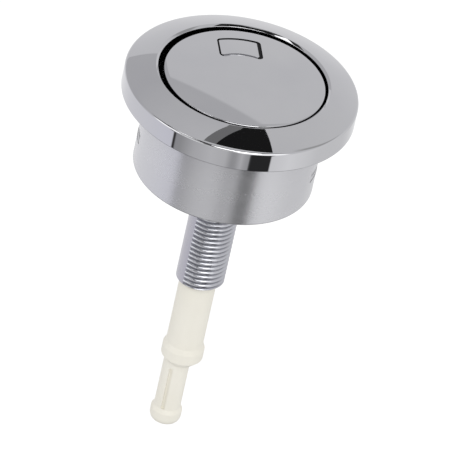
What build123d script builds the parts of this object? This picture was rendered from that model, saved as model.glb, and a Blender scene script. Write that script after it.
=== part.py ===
from build123d import *
import os

# Push button cistern actuator, in millimetres with +Z up.
# The origin is on the button's axis at the underside of the flange, where the top of the lid lies.

# Housing: flange on the lid, skirt through the lid's hole
spigot_radius = 21.25
skirt_wall = 1.25
skirt_depth = 20.0
skirt_chamfer = 0.4
flange_overhang = 6.25
flange_band = 5.0
flange_round = 0.7
crown_rise = 2.5
crown_bulge = 0.2
crown_wall = 2.0
lip_chamfer = 0.55
seat_ring_width = 2.0
root_ring_width = 1.25

# Snap windows on two sides of the skirt
window_width = 12.4
window_height = 2.5
window_rise = 6.3

# Button and its travel
stroke = 6.0
stop_clearance = 0.4
button_gap = 1.0
button_sink = 0.7
button_dome = 0.5
button_wall = 1.4
button_side_wall = 1.2
button_round = 0.6

# Press mark on the button, a curved oblong outlined by a shallow groove that is wider on one side
mark_distance = 12.0
mark_angle = 103.5
mark_width = 9.0
mark_length = 5.7
mark_round = 0.4
mark_groove_width = 0.7
mark_groove_depth = 0.35
mark_shift = 0.25

# Base insert
base_clearance = 0.15
base_wall = 1.6
floor_recess = 0.5
floor_thickness = 2.5
ledge_reach = 1.35
ledge_height = 1.4
ledge_half_angle = 16.0
ledge_count = 4
ledge_start_angle = 45.0
core_margin_angle = 1.0
arm_slot_width = 1.2
arm_margin = 0.6
tab_clearance = 0.15
tab_side_gap = 0.25
tab_recess = 0.2
tab_land = 1.4

# Threaded stem: a tube with two flats, a collar under the floor and a neck through it
stem_wall = 1.35
stem_exposed = 31.1
stem_chamfer = 0.8
stem_flat_depth = 0.4
stem_flat_angle = 27.5
stem_clearance = 0.1
collar_reach = 3.0
collar_height = 2.0
collar_round = 0.5
neck_wall = 0.9
neck_flat_depth = 0.4
neck_rise = 0.5

# Washer and nut that clamp the neck above the floor
washer_reach = 3.5
washer_thickness = 1.0
nut_wall = 2.0
nut_height = 3.0
nut_chamfer = 0.6

# Plunger under the button
disc_thickness = 2.4
disc_clearance = 0.1
hub_wall = 2.0
hub_clearance = 0.8
web_thickness = 2.0
leg_thickness = 1.6
leg_half_angle = 12.0
hook_height = 2.2
hook_land = 0.8
hook_clearance = 0.3

# Return spring
spring_wire = 1.2
spring_turns = 5
spring_clearance = 0.8
spring_end_gap = 0.05

# Push rod
rod_radius = 4.4
rod_clearance = 0.25
rod_exposed = 22.3
rod_socket_clearance = 0.05
rod_end_chamfer = 0.4
shoulder_height = 2.0
tail_length = 19.8
tail_radius = 3.15
tail_offset = 0.8
tail_angle = 165.0
tail_slot_width = 0.9
tail_slot_depth = 0.6
tail_slot_lead = 1.2
tail_slot_end = 4.6
tail_nose_radius = 2.0
knob_reach = 0.6
knob_height = 4.5
knob_ramp = 0.9
ring_reach = 0.6
ring_height = 2.6
ring_ramp = 1.3
ring_round = 0.3

# Screw that holds the rod to the plunger
screw_radius = 1.5
screw_length = 12.0
screw_clearance = 0.2
screw_pilot_clearance = 0.05
screw_head_radius = 3.0
screw_head_height = 1.9
screw_head_clearance = 0.5
screw_recess_width = 0.9
screw_recess_length = 3.6
screw_recess_depth = 1.1

# Radii that follow
flange_radius = spigot_radius + flange_overhang
bore_radius = spigot_radius - skirt_wall
button_radius = bore_radius - button_gap
button_inner = button_radius - button_side_wall
base_outer = bore_radius - base_clearance
base_inner = base_outer - base_wall
ledge_inner = base_inner - ledge_reach
leg_outer = ledge_inner - hook_clearance
hook_radius = base_inner - hook_clearance
disc_radius = button_inner - disc_clearance
stem_bore = rod_radius + rod_clearance
stem_radius = stem_bore + stem_wall
collar_radius = stem_radius + collar_reach
neck_radius = stem_bore + neck_wall
neck_hole = neck_radius + stem_clearance
washer_radius = neck_radius + washer_reach
nut_inradius = neck_hole + nut_wall
hub_inner = rod_radius + rod_socket_clearance
hub_radius = hub_inner + hub_wall
spring_radius = washer_radius + spring_clearance + spring_wire / 2

# Heights that follow, from the lid upwards
lip_z = flange_band + crown_rise
button_edge_z = lip_z - button_sink
button_ceiling_z = button_edge_z - button_wall
disc_bottom_z = button_ceiling_z - disc_thickness
rod_top_z = disc_bottom_z - web_thickness

# Heights that follow, from the skirt's end upwards
skirt_end_z = -skirt_depth
window_bottom_z = skirt_end_z + window_rise
window_top_z = window_bottom_z + window_height
floor_bottom_z = skirt_end_z + floor_recess
floor_top_z = floor_bottom_z + floor_thickness
washer_top_z = floor_top_z + washer_thickness
nut_top_z = washer_top_z + nut_height
neck_top_z = nut_top_z + neck_rise
leg_end_z = floor_top_z + stroke + stop_clearance
hook_top_z = leg_end_z + hook_height
ledge_z = hook_top_z + hook_clearance
base_top_z = ledge_z + ledge_height
button_end_z = base_top_z + stroke + stop_clearance
hub_end_z = neck_top_z + stroke + hub_clearance

# Heights that follow, down the stem and the rod
collar_bottom_z = floor_bottom_z - collar_height
stem_end_z = skirt_end_z - stem_exposed
shoulder_z = stem_end_z - rod_exposed
tail_top_z = shoulder_z - shoulder_height
rod_end_z = shoulder_z - tail_length

cut_margin = 1.0
edge_tolerance = 1e-4


def turned(*edges):
    """Solid turned about Z from a closed outline of edges, given as radius and height."""
    return revolve(Plane.XZ * make_face(Curve() + list(edges)), Axis.Z)


def turned_polygon(*points):
    """Solid turned about Z from straight runs between points of radius and height."""
    return turned(Polyline(*points, close=True))


def turned_sector(points, middle_angle, half_angle):
    """Sector of a turned shape, centred on an angle in degrees."""
    outline = Plane.XZ * make_face(Polyline(*points, close=True))
    return Rot(0, 0, middle_angle - half_angle) * revolve(outline, Axis.Z, 2 * half_angle)


def ring_points(inner, outer, bottom, top):
    """Corners of a plain ring's section."""
    return (inner, bottom), (outer, bottom), (outer, top), (inner, top)


def upright(face, bottom, top):
    """Prism of a flat face from one height to another."""
    return extrude(Pos(0, 0, bottom) * face, top - bottom)


def rims(solid, radius, height):
    """Circular edges of a turned solid at one radius and height."""
    circles = solid.edges().filter_by(GeomType.CIRCLE)
    return [edge for edge in circles
            if abs(edge.radius - radius) < edge_tolerance
            and abs(edge.arc_center.Z - height) < edge_tolerance]


def ledge_angles():
    """Angles of the ledges in the base and of the hooks under them."""
    return [ledge_start_angle + 360 * number / ledge_count for number in range(ledge_count)]


def double_d(radius, flat_distance):
    """Round section with two opposite flats, turned as the stem's flats are."""
    flats = Rectangle(2 * flat_distance, 2 * radius + cut_margin)
    return Circle(radius) & (Rot(0, 0, stem_flat_angle) * flats)


def bezel_housing():
    """Flange with a raised crown, and the skirt with its two snap windows."""
    groove_top = flange_band - crown_wall
    groove_inner = spigot_radius + root_ring_width
    groove_outer = flange_radius - seat_ring_width
    band_top = (flange_radius, flange_band)
    lip = (bore_radius, lip_z)
    crown_middle = ((flange_radius + bore_radius) / 2, (flange_band + lip_z) / 2 + crown_bulge)
    solid = turned(
        Polyline(lip, (bore_radius, skirt_end_z), (spigot_radius, skirt_end_z), (spigot_radius, 0),
                 (groove_inner, 0), (groove_inner, groove_top), (groove_outer, groove_top),
                 (groove_outer, 0), (flange_radius, 0), band_top),
        ThreePointArc(band_top, crown_middle, lip))
    solid = fillet(rims(solid, flange_radius, flange_band), flange_round)
    solid = chamfer(rims(solid, bore_radius, lip_z), lip_chamfer)
    solid = chamfer(rims(solid, spigot_radius, skirt_end_z), skirt_chamfer)
    window = Box(2 * (spigot_radius + cut_margin), window_width, window_height)
    return solid - Pos(0, 0, (window_top_z + window_bottom_z) / 2) * window


def snap_tab():
    """Wedge that springs into the window on +X, with its lead-in on top."""
    tip = spigot_radius - tab_recess
    bottom = window_bottom_z + tab_clearance
    top = window_top_z - tab_clearance
    wedge = turned_polygon((base_inner, bottom), (tip, bottom), (tip, bottom + tab_land),
                           (base_outer, top), (base_inner, top))
    width = window_width - 2 * tab_side_gap
    side = Pos(tip / 2, 0, (bottom + top) / 2) * Box(tip, width, window_height)
    return wedge & side


def arm_band():
    """Band across the base that the spring arms and their slots take up."""
    width = window_width + 2 * (arm_margin + arm_slot_width)
    height = base_top_z - floor_top_z + cut_margin
    return Pos(0, 0, floor_top_z + height / 2) * Box(2 * (base_outer + cut_margin), width, height)


def arm_slots():
    """Slots that free the two spring arms that carry the snap tabs."""
    across = window_width / 2 + arm_margin + arm_slot_width / 2
    height = base_top_z - floor_top_z + cut_margin
    slot = Box(2 * (base_outer + cut_margin), arm_slot_width, height)
    middle = floor_top_z + height / 2
    return Pos(0, across, middle) * slot + Pos(0, -across, middle) * slot


def base_insert():
    """Cup that snaps into the skirt, holds the stem and stops the plunger's hooks."""
    cup = turned_polygon((0, floor_bottom_z), (base_outer, floor_bottom_z), (base_outer, base_top_z),
                         (base_inner, base_top_z), (base_inner, floor_top_z), (0, floor_top_z))
    wall_middle = base_inner + base_wall / 2
    ledge = ring_points(ledge_inner, wall_middle, ledge_z, base_top_z)
    core = ring_points(ledge_inner, base_inner, floor_bottom_z - cut_margin, floor_top_z + cut_margin)
    for angle in ledge_angles():
        cup += turned_sector(ledge, angle, ledge_half_angle) - arm_band()
        cup -= turned_sector(core, angle, ledge_half_angle + core_margin_angle)
    cup -= arm_slots()
    cup += snap_tab()
    cup += Rot(0, 0, 180) * snap_tab()
    neck_section = double_d(neck_hole, neck_hole - neck_flat_depth)
    return cup - upright(neck_section, floor_bottom_z - cut_margin, floor_top_z + cut_margin)


def threaded_stem():
    """Tube with two flats, a collar that seats under the floor and a keyed neck above it."""
    shaft = upright(Circle(stem_radius), stem_end_z, collar_bottom_z)
    shaft = chamfer(rims(shaft, stem_radius, stem_end_z), stem_chamfer)
    shaft &= upright(double_d(stem_radius, stem_radius - stem_flat_depth), stem_end_z, collar_bottom_z)
    collar = upright(Circle(collar_radius), collar_bottom_z, floor_bottom_z)
    collar = fillet(rims(collar, collar_radius, collar_bottom_z), collar_round)
    neck = upright(double_d(neck_radius, neck_radius - neck_flat_depth), floor_bottom_z, neck_top_z)
    bore = upright(Circle(stem_bore), stem_end_z - cut_margin, neck_top_z + cut_margin)
    return shaft + collar + neck - bore


def stem_washer():
    """Flat washer between the floor of the base and the nut."""
    return turned_polygon(*ring_points(neck_hole, washer_radius, floor_top_z, washer_top_z))


def stem_nut():
    """Thin hexagon nut that clamps the stem to the base, with its corners turned off."""
    hexagon = RegularPolygon(nut_inradius, 6, major_radius=False)
    corner = hexagon.vertices()[0].center().length
    shoulder = corner - nut_chamfer
    turned_corners = turned_polygon(
        (neck_hole, washer_top_z), (shoulder, washer_top_z), (corner, washer_top_z + nut_chamfer),
        (corner, nut_top_z - nut_chamfer), (shoulder, nut_top_z), (neck_hole, nut_top_z))
    return upright(hexagon, washer_top_z, nut_top_z) & turned_corners


def button_blank():
    """Domed cap before its mark is cut."""
    top = (0, button_edge_z + button_dome)
    edge = (button_radius, button_edge_z)
    middle_radius = button_radius / 2
    middle_z = button_edge_z + button_dome * (1 - (middle_radius / button_radius) ** 2)
    cap = turned(
        Polyline(edge, (button_radius, button_end_z), (button_inner, button_end_z),
                 (button_inner, button_ceiling_z), (0, button_ceiling_z), top),
        ThreePointArc(top, (middle_radius, middle_z), edge))
    return fillet(rims(cap, button_radius, button_edge_z), button_round)


def mark_outline(margin):
    """Curved oblong of the mark, grown by a margin, on the +X side of the button."""
    outer = mark_distance + mark_length / 2 + margin
    inner = mark_distance - mark_length / 2 - margin
    band = Circle(outer) - Circle(inner)
    side = Pos(outer / 2, 0) * Rectangle(2 * outer, mark_width + 2 * margin)
    half_plane = Pos(outer, 0) * Rectangle(2 * outer, 2 * outer)
    oblong = band & side & half_plane
    return fillet(oblong.vertices(), mark_round + margin)


def button_cap():
    """Domed cap with the outline of its press mark cut into the top."""
    groove = mark_outline(mark_groove_width) - Pos(0, mark_shift) * mark_outline(0)
    prism = upright(Rot(0, 0, mark_angle) * groove, button_ceiling_z, lip_z)
    return button_blank() - (prism - Pos(0, 0, -mark_groove_depth) * button_blank())


def plunger_leg(angle):
    """Leg with an outward hook that is drawn up under a ledge of the base."""
    inner = leg_outer - leg_thickness
    root_z = disc_bottom_z + disc_thickness / 2
    section = [(inner, leg_end_z), (leg_outer, leg_end_z), (hook_radius, hook_top_z - hook_land),
               (hook_radius, hook_top_z), (leg_outer, hook_top_z), (leg_outer, root_z), (inner, root_z)]
    return turned_sector(section, angle, leg_half_angle)


def plunger():
    """Disc that carries the button, with the rod's socket and the stop legs."""
    head_pocket = screw_head_radius + screw_head_clearance
    screw_hole = screw_radius + screw_clearance
    solid = turned_polygon(
        (screw_hole, disc_bottom_z), (head_pocket, disc_bottom_z), (head_pocket, button_ceiling_z),
        (disc_radius, button_ceiling_z), (disc_radius, disc_bottom_z), (hub_radius, disc_bottom_z),
        (hub_radius, hub_end_z), (hub_inner, hub_end_z), (hub_inner, rod_top_z), (screw_hole, rod_top_z))
    for angle in ledge_angles():
        solid += plunger_leg(angle)
    return solid


def return_spring():
    """Open coil between the floor of the base and the plunger's disc."""
    start = floor_top_z + spring_wire / 2 + spring_end_gap
    height = disc_bottom_z - spring_wire / 2 - spring_end_gap - start
    coil = Pos(0, 0, start) * Helix(height / spring_turns, height, spring_radius)
    return sweep(Plane(coil @ 0, z_dir=coil % 0) * Circle(spring_wire / 2), coil)


def tail_shank():
    """Tail with a ringed knob and a round nose at its end."""
    knob_radius = tail_radius + knob_reach
    knob_top = rod_end_z + knob_height
    nose_start = (knob_radius - tail_nose_radius, rod_end_z)
    nose_end = (knob_radius, rod_end_z + tail_nose_radius)
    return turned(
        Polyline(nose_end, (knob_radius, knob_top - knob_ramp), (tail_radius, knob_top),
                 (tail_radius, shoulder_z), (0, shoulder_z), (0, rod_end_z), nose_start),
        RadiusArc(nose_start, nose_end, -tail_nose_radius))


def push_rod():
    """Round rod through the stem, with a ring above its coned shoulder and two slots in its tail."""
    ring_radius = rod_radius + ring_reach
    ring_top = shoulder_z + ring_height
    rod = turned_polygon((0, rod_top_z), (rod_radius - rod_end_chamfer, rod_top_z),
                         (rod_radius, rod_top_z - rod_end_chamfer), (rod_radius, ring_top + ring_ramp),
                         (ring_radius, ring_top), (ring_radius, shoulder_z),
                         (tail_radius, tail_top_z), (0, tail_top_z))
    rod = fillet(rims(rod, ring_radius, ring_top) + rims(rod, ring_radius, shoulder_z), ring_round)
    tail = Pos(tail_offset, 0, 0) * tail_shank()
    slot_top = tail_top_z - tail_slot_lead
    slot_bottom = rod_end_z + tail_slot_end
    slot = Pos(0, 0, (slot_top + slot_bottom) / 2) * Box(
        tail_slot_width, 2 * tail_radius, slot_top - slot_bottom)
    slot_reach = 2 * tail_radius - tail_slot_depth
    slots = Pos(tail_offset, slot_reach, 0) * slot + Pos(tail_offset, -slot_reach, 0) * slot
    pilot_bottom = disc_bottom_z - screw_length - screw_pilot_clearance
    pilot = upright(Circle(screw_radius + screw_pilot_clearance), pilot_bottom, rod_top_z + cut_margin)
    return Rot(0, 0, tail_angle) * (rod + tail - slots - pilot)


def rod_screw():
    """Pan head screw down through the plunger into the rod, with a cross recess."""
    tip_z = disc_bottom_z - screw_length
    head_top = disc_bottom_z + screw_head_height
    screw = turned_polygon(
        (0, tip_z), (screw_radius, tip_z), (screw_radius, disc_bottom_z),
        (screw_head_radius, disc_bottom_z), (screw_head_radius, head_top), (0, head_top))
    screw = fillet(rims(screw, screw_head_radius, head_top), screw_head_height / 2)
    blade = Pos(0, 0, head_top) * Box(
        screw_recess_length, screw_recess_width, 2 * screw_recess_depth)
    return screw - blade - Rot(0, 0, 90) * blade


pieces = {
    "bezel_housing": bezel_housing,
    "base_insert": base_insert,
    "threaded_stem": threaded_stem,
    "stem_washer": stem_washer,
    "stem_nut": stem_nut,
    "return_spring": return_spring,
    "button_cap": button_cap,
    "plunger": plunger,
    "push_rod": push_rod,
    "rod_screw": rod_screw,
}

os.makedirs("parts", exist_ok=True)
for name, build in pieces.items():
    export_step(build(), f"parts/{name}.step")
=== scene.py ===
import logging
import math
from contextlib import contextmanager
from dataclasses import dataclass, field
from enum import Enum
from typing import Callable, Iterator, Sequence

import bmesh
import bpy
from mathutils import Matrix, Vector


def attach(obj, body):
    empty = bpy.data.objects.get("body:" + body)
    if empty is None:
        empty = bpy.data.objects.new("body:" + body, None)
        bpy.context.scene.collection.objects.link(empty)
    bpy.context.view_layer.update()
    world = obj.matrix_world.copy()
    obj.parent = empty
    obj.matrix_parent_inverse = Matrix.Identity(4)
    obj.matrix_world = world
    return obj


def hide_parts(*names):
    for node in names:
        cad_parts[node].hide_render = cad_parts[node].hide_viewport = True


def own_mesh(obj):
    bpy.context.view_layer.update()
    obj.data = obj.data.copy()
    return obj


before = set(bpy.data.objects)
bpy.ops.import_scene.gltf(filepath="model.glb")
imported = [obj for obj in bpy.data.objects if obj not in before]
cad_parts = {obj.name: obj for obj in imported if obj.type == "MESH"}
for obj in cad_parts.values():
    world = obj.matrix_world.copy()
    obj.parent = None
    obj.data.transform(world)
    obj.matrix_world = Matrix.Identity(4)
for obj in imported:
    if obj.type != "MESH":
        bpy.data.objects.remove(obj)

# Push button cistern actuator: chrome housing and button, threaded stem and ivory push rod.
# Sizes are in millimetres and become metres where a mesh is made.

LOG = logging.getLogger("cistern_actuator")
MM = 0.001
TURN_STEPS = 192
ARC_STEPS = 6
MERGE_DISTANCE = 1e-6
WELD_DISTANCE = 3e-6
CUT_TOLERANCE = 1e-7
CUT_MARGIN = 1.0
PAINT_MARGIN = 0.1
UPRIGHT = 0.5
BEVEL_STEPS = 3
SECTOR_STEPS = 24
SMOOTH_ANGLE = 32.0
CLOUD_RANGE = (0.3, 0.7)
GRAIN_SHARE = 0.6


class Body(Enum):
    """Bodies of the frame that the pieces ride on."""

    HOUSING = "housing"
    BUTTON = "button"


class Slot(Enum):
    """Material slots of the record."""

    CHROME = "chrome_plate"
    ZINC = "zinc_plate"
    SPRING = "spring_steel"
    DARK = "dark_plastic"
    GREY = "grey_plastic"
    IVORY = "ivory_plastic"


class Joining(Enum):
    """Ways to combine a piece with a tool."""

    CUT = "DIFFERENCE"
    FUSE = "UNION"
    KEEP = "INTERSECT"


@dataclass(frozen=True)
class Corner:
    """Corner of a turned outline: radius from the axis, height and the round on it."""

    radius: float
    height: float
    round: float = 0.0


# Mesh tools

def deselect_all() -> None:
    """Clear the object selection."""
    bpy.ops.object.select_all(action="DESELECT")


def make_active(piece: bpy.types.Object) -> None:
    """Select one object alone and make it the active one."""
    deselect_all()
    piece.select_set(True)
    bpy.context.view_layer.objects.active = piece


@contextmanager
def editing(piece: bpy.types.Object) -> Iterator[bpy.types.Object]:
    """Hold a piece in edit mode with all of its mesh selected.

    Args:
        piece: The mesh object to edit.
    """
    make_active(piece)
    bpy.ops.object.mode_set(mode="EDIT")
    bpy.ops.mesh.select_mode(type="VERT")
    bpy.ops.mesh.select_all(action="SELECT")
    yield piece
    bpy.ops.object.mode_set(mode="OBJECT")


def pick_vertices(piece: bpy.types.Object, wanted: Callable[[Vector], bool]) -> None:
    """Select the vertices of a piece in edit mode by their place.

    Args:
        piece: The mesh object in edit mode.
        wanted: Test of a vertex's place in metres.
    """
    bpy.ops.mesh.select_all(action="DESELECT")
    mesh = bmesh.from_edit_mesh(piece.data)
    for vertex in mesh.verts:
        vertex.select_set(wanted(vertex.co))
    mesh.select_flush_mode()
    bmesh.update_edit_mesh(piece.data)


def pick_faces(piece: bpy.types.Object, wanted: Callable[[Vector, Vector], bool]) -> None:
    """Select the faces of a piece in edit mode by their middle and normal.

    Args:
        piece: The mesh object in edit mode.
        wanted: Test of a face's middle and normal.
    """
    bpy.ops.mesh.select_all(action="DESELECT")
    bpy.ops.mesh.select_mode(type="FACE")
    mesh = bmesh.from_edit_mesh(piece.data)
    for face in mesh.faces:
        face.select_set(wanted(face.calc_center_median(), face.normal))
    bmesh.update_edit_mesh(piece.data)


def tidy_mesh() -> None:
    """Merge doubles and point the faces outwards on the piece in edit mode."""
    bpy.ops.mesh.select_all(action="SELECT")
    bpy.ops.mesh.remove_doubles(threshold=MERGE_DISTANCE)
    bpy.ops.mesh.normals_make_consistent(inside=False)


def rounded_outline(corners: Sequence[Corner]) -> list[Vector]:
    """Follow a closed outline in the XZ plane, with an arc at each rounded corner.

    Args:
        corners: The corners in order.

    Returns:
        The points in metres.
    """
    points: list[Vector] = []
    for index, corner in enumerate(corners):
        here = Vector((corner.radius, corner.height))
        if corner.round <= 0:
            points.append(here)
            continue
        before, after = corners[index - 1], corners[(index + 1) % len(corners)]
        to_before = (Vector((before.radius, before.height)) - here).normalized()
        to_after = (Vector((after.radius, after.height)) - here).normalized()
        half = to_before.angle(to_after) / 2
        centre = here + (to_before + to_after).normalized() * corner.round / math.sin(half)
        start = here + to_before * corner.round / math.tan(half) - centre
        end = here + to_after * corner.round / math.tan(half) - centre
        sweep = -start.angle_signed(end)
        for step in range(ARC_STEPS + 1):
            points.append(centre + Matrix.Rotation(sweep * step / ARC_STEPS, 2) @ start)
    return [Vector((point.x, 0, point.y)) * MM for point in points]


def start_outline(name: str, points: Sequence[Vector], closed: bool) -> bpy.types.Object:
    """Draw a chain of edges by extruding one vertex from point to point.

    Args:
        name: Name of the new object.
        points: The places of the vertices.
        closed: Whether an edge joins the last point to the first.

    Returns:
        The object, with the chain as its mesh.
    """
    deselect_all()
    bpy.ops.mesh.primitive_plane_add(size=MM)
    piece = bpy.context.object
    piece.name = name
    with editing(piece):
        bpy.ops.mesh.merge(type="CENTER")
        bpy.ops.transform.translate(value=points[0])
        for here, there in zip(points, points[1:]):
            bpy.ops.mesh.extrude_region_move(TRANSFORM_OT_translate={"value": there - here})
        if closed:
            ends = (points[0], points[-1])
            pick_vertices(piece, lambda place: min((place - end).length for end in ends) < MERGE_DISTANCE)
            bpy.ops.mesh.edge_face_add()
    return piece


def turned(name: str, corners: Sequence[Corner], steps: int = TURN_STEPS) -> bpy.types.Object:
    """Turn an outline about Z into a closed solid.

    Args:
        name: Name of the new object.
        corners: The outline; it is closed by the axis where both ends lie on it.
        steps: Number of faces around.

    Returns:
        The turned object.
    """
    points = rounded_outline(corners)
    on_axis = points[0].x < MERGE_DISTANCE and points[-1].x < MERGE_DISTANCE
    piece = start_outline(name, points, closed=not on_axis)
    with editing(piece):
        bpy.ops.mesh.spin(steps=steps, angle=math.tau, center=(0, 0, 0), axis=(0, 0, 1))
        tidy_mesh()
    return piece


def turned_sector(name: str, corners: Sequence[Corner], middle: float, half: float,
                  steps: int = SECTOR_STEPS) -> bpy.types.Object:
    """Turn an outline through part of a circle into a closed solid.

    Args:
        name: Name of the new object.
        corners: The closed outline.
        middle: Angle of the sector's middle in degrees.
        half: Half of its sweep in degrees.
        steps: Number of faces along the sweep.

    Returns:
        The sector.
    """
    piece = start_outline(name, rounded_outline(corners), closed=True)
    with editing(piece):
        bpy.ops.mesh.edge_face_add()
        bpy.ops.mesh.spin(steps=steps, angle=math.radians(2 * half), center=(0, 0, 0), axis=(0, 0, 1))
        tidy_mesh()
    # The sweep can run either way, so its side is read from the mesh.
    furthest = max(piece.data.vertices, key=lambda vertex: abs(vertex.co.y))
    turn_object(piece, middle - math.copysign(half, furthest.co.y))
    return piece


def turn_object(piece: bpy.types.Object, angle: float) -> None:
    """Turn a piece about Z and put the turn into its mesh.

    Args:
        piece: The object to turn.
        angle: The angle in degrees.
    """
    make_active(piece)
    piece.rotation_euler.z = math.radians(angle)
    bpy.ops.object.transform_apply(location=True, rotation=True, scale=True)


def move_object(piece: bpy.types.Object, offset: Vector) -> None:
    """Move a piece, in millimetres, and put the move into its mesh."""
    make_active(piece)
    piece.location = offset * MM
    bpy.ops.object.transform_apply(location=True, rotation=True, scale=True)


def block(name: str, size: tuple[float, float, float], middle: tuple[float, float, float],
          bevel: float = 0.0) -> bpy.types.Object:
    """Make a block with bevelled edges.

    Args:
        name: Name of the new object.
        size: Its three sides.
        middle: Its middle.
        bevel: Width of the bevel on every edge.

    Returns:
        The block.
    """
    deselect_all()
    bpy.ops.mesh.primitive_cube_add(size=MM, scale=size)
    piece = bpy.context.object
    piece.name = name
    move_object(piece, Vector(middle))
    if bevel > 0:
        with editing(piece):
            bpy.ops.mesh.bevel(offset=bevel * MM, segments=BEVEL_STEPS, affect="EDGES")
    return piece


def combine(piece: bpy.types.Object, tool: bpy.types.Object, joining: Joining) -> None:
    """Combine a piece with a tool and remove the tool.

    Args:
        piece: The object that is kept.
        tool: The object that cuts it, joins it or bounds it.
        joining: How the two combine.
    """
    modifier = piece.modifiers.new("combine", "BOOLEAN")
    modifier.operation = joining.value
    modifier.solver = "EXACT"
    modifier.object = tool
    make_active(piece)
    bpy.ops.object.modifier_apply(modifier=modifier.name)
    bpy.data.objects.remove(tool)


def weld(piece: bpy.types.Object) -> None:
    """Close up the slivers that cuts leave along their edges."""
    with editing(piece):
        bpy.ops.mesh.remove_doubles(threshold=WELD_DISTANCE)
        bpy.ops.mesh.select_all(action="SELECT")
        bpy.ops.mesh.dissolve_degenerate(threshold=WELD_DISTANCE)


def smooth(piece: bpy.types.Object, angle: float = SMOOTH_ANGLE) -> None:
    """Weld a piece and shade it smooth up to an angle, with its large faces ruling the normals.

    Args:
        piece: The object to shade.
        angle: Largest angle in degrees between faces that are shaded as one.
    """
    weld(piece)
    make_active(piece)
    bpy.ops.object.shade_smooth_by_angle(angle=math.radians(angle))
    modifier = piece.modifiers.new("normals", "WEIGHTED_NORMAL")
    modifier.keep_sharp = True
    bpy.ops.object.modifier_apply(modifier=modifier.name)


def paint_faces(piece: bpy.types.Object, index: int, wanted: Callable[[Vector, Vector], bool]) -> None:
    """Give the chosen faces of a piece one of its materials.

    Args:
        piece: The object, with its materials in place.
        index: Place of the material in the object's list.
        wanted: Test of a face's middle and normal.
    """
    with editing(piece):
        pick_faces(piece, wanted)
        piece.active_material_index = index
        bpy.ops.object.material_slot_assign()


def place(piece: bpy.types.Object, body: Body, slot: Slot, *nodes: str) -> None:
    """Let a finished piece ride on a body and stand for its nodes.

    Args:
        piece: The finished object.
        body: The body that carries it.
        slot: The record's slot for its finish; not used.
        nodes: The frame's nodes that it stands for.
    """
    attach(piece, body.value)
    if nodes:
        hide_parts(*nodes)
    LOG.info("%s: %d faces on %s", piece.name, len(piece.data.polygons), body.value)


# Finishes

class NodeSheet:
    """Small helper that adds and links shader nodes in one tree."""

    def __init__(self, tree: bpy.types.NodeTree) -> None:
        """Keep the tree that the nodes go into."""
        self.tree = tree

    def add(self, kind: str, **values: object) -> bpy.types.Node:
        """Add a node and set its inputs or its own settings by name.

        Args:
            kind: Blender's name of the node type.
            values: Inputs, with spaces written as underscores, or settings of the node.

        Returns:
            The new node.
        """
        node = self.tree.nodes.new(kind)
        for name, value in values.items():
            socket = node.inputs.get(name.replace("_", " "))
            if socket is None:
                setattr(node, name, value)
            elif isinstance(value, bpy.types.NodeSocket):
                self.tree.links.new(value, socket)
            else:
                socket.default_value = value
        return node

    def link(self, start: bpy.types.NodeSocket, end: bpy.types.NodeSocket) -> None:
        """Join two sockets."""
        self.tree.links.new(start, end)

    def blend(self, factor: bpy.types.NodeSocket, first: object, second: object) -> bpy.types.NodeSocket:
        """Mix two colours by a factor.

        Args:
            factor: The socket that drives the mix.
            first: Colour or socket at 0.
            second: Colour or socket at 1.

        Returns:
            The mixed colour.
        """
        node = self.add("ShaderNodeMix", data_type="RGBA")
        self.link(factor, node.inputs[0])
        # The node keeps its two colours in sockets 6 and 7, after those of the other data types.
        for socket, value in ((node.inputs[6], first), (node.inputs[7], second)):
            if isinstance(value, bpy.types.NodeSocket):
                self.link(value, socket)
            else:
                socket.default_value = value
        return node.outputs[2]

    def between(self, value: bpy.types.NodeSocket, low: float, high: float,
                start: float = 0.0, end: float = 1.0) -> bpy.types.NodeSocket:
        """Map a value onto a range.

        Args:
            value: The socket to map.
            low: Result at the start.
            high: Result at the end.
            start: Value that gives the low result.
            end: Value that gives the high result.

        Returns:
            The mapped value.
        """
        node = self.add("ShaderNodeMapRange", From_Min=start, From_Max=end, To_Min=low, To_Max=high)
        self.link(value, node.inputs["Value"])
        return node.outputs["Result"]

    def math(self, operation: str, first: object, second: object = 0.0) -> bpy.types.NodeSocket:
        """Calculate with one or two values.

        Args:
            operation: Blender's name of the operation.
            first: Number or socket.
            second: Number or socket.

        Returns:
            The result.
        """
        node = self.add("ShaderNodeMath", operation=operation)
        for socket, value in zip(node.inputs, (first, second)):
            if isinstance(value, bpy.types.NodeSocket):
                self.link(value, socket)
            else:
                socket.default_value = value
        return node.outputs[0]


def grain_group() -> bpy.types.NodeTree:
    """Build the shared effect of broad clouds and fine grain over a surface.

    Returns:
        A node group with a vector and two scales in, and a cloud and a grain mask out.
    """
    known = bpy.data.node_groups.get("surface_grain")
    if known:
        return known
    group = bpy.data.node_groups.new("surface_grain", "ShaderNodeTree")
    group.interface.new_socket("Vector", in_out="INPUT", socket_type="NodeSocketVector")
    group.interface.new_socket("Cloud Scale", in_out="INPUT", socket_type="NodeSocketFloat")
    group.interface.new_socket("Grain Scale", in_out="INPUT", socket_type="NodeSocketFloat")
    group.interface.new_socket("Cloud", in_out="OUTPUT", socket_type="NodeSocketFloat")
    group.interface.new_socket("Grain", in_out="OUTPUT", socket_type="NodeSocketFloat")
    sheet = NodeSheet(group)
    entry = sheet.add("NodeGroupInput")
    leave = sheet.add("NodeGroupOutput")
    cloud = sheet.add("ShaderNodeTexNoise", Vector=entry.outputs["Vector"],
                      Scale=entry.outputs["Cloud Scale"], Detail=3.0, Roughness=0.55)
    grain = sheet.add("ShaderNodeTexNoise", Vector=entry.outputs["Vector"],
                      Scale=entry.outputs["Grain Scale"], Detail=2.0, Roughness=0.6)
    sheet.link(cloud.outputs[0], leave.inputs["Cloud"])
    sheet.link(grain.outputs[0], leave.inputs["Grain"])
    return group


Colour = tuple[float, float, float, float]


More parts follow.
